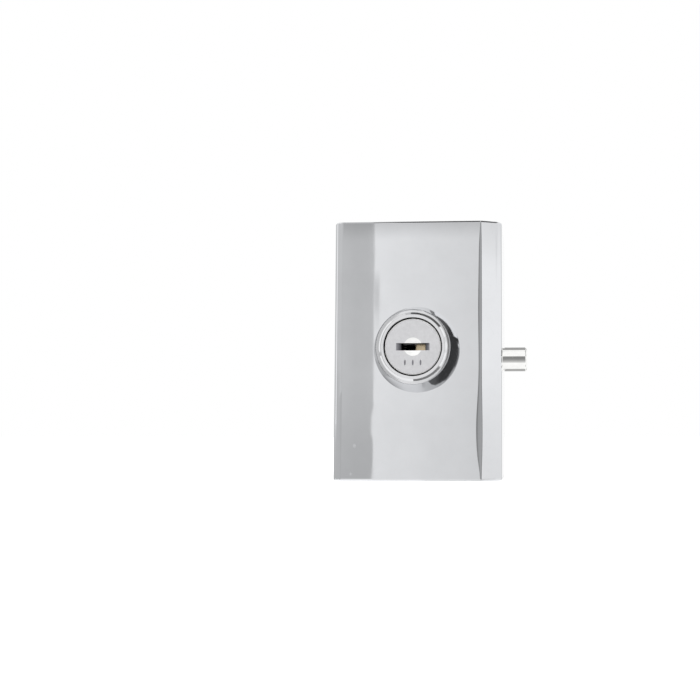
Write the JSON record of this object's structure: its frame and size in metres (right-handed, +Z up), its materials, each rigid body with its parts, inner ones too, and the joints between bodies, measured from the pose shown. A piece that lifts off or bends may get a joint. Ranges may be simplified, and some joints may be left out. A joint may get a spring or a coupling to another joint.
{
  "type": "glass cabinet door lock",
  "caption": "Clamp-on lock for a glass cabinet door: folded chrome case, keyed wafer cylinder that draws a round bolt, and a screw clamp for glass.",
  "frame": {"origin": "on the cylinder's axis, on the face that the glass lies against", "axes": "+X towards the bolt (right, seen from the front), +Y from the front towards the back, +Z up"},
  "size_m": [0.0425, 0.0367, 0.057],
  "materials": {
    "case_chrome": "polished chrome on folded steel sheet, with light handling marks",
    "collar_chrome": "bright polished chrome, turned",
    "plug_satin": "satin nickel, faced on a lathe",
    "bolt_nickel": "polished nickel on steel",
    "zinc_cast": "bare zinc die casting, fine grain",
    "plain_steel": "zinc-plated steel",
    "spring_steel": "spring steel, lightly oiled",
    "wafer_brass": "stamped brass",
    "pad_black": "soft black vinyl, matt",
    "screw_black": "black-oxide steel"
  },
  "bodies": {
    "case": {"case_shell": "case_chrome", "lock_chassis": "zinc_cast", "back_plate": "plain_steel", "back_plate_screws": "plain_steel", "barrel": "collar_chrome", "barrel_clip": "spring_steel", "front_pad": "pad_black", "edge_pad": "pad_black", "screw_block": "plain_steel", "block_rivets": "plain_steel"},
    "plug": {"plug": "plug_satin", "wafer_tumblers": "wafer_brass", "wafer_springs": "spring_steel", "crank_disc": "plain_steel", "crank_pin": "plain_steel", "crank_screw": "screw_black"},
    "bolt": {"bolt_slide": "zinc_cast", "bolt_pin": "bolt_nickel"},
    "clamp": {"clamp_plate": "plain_steel", "clamp_pad": "pad_black", "clamp_screws": "screw_black"}
  },
  "joints": [
    {"name": "plug_turn", "type": "hinge", "parent": "case", "child": "plug", "pos_m": [0, 0, 0], "axis": [0, 1, 0], "range_deg": [0, 90]},
    {"name": "bolt_draw", "type": "slide", "parent": "case", "child": "bolt", "axis": [1, 0, 0], "range_m": [-0.0055, 0]},
    {"name": "clamp_close", "type": "slide", "parent": "case", "child": "clamp", "axis": [0, -1, 0], "range_m": [0, 0.0024]}
  ],
  "couplings": [
    {"joint": "plug_turn", "follows": "bolt_draw", "rad_per_m": -285.5}
  ]
}
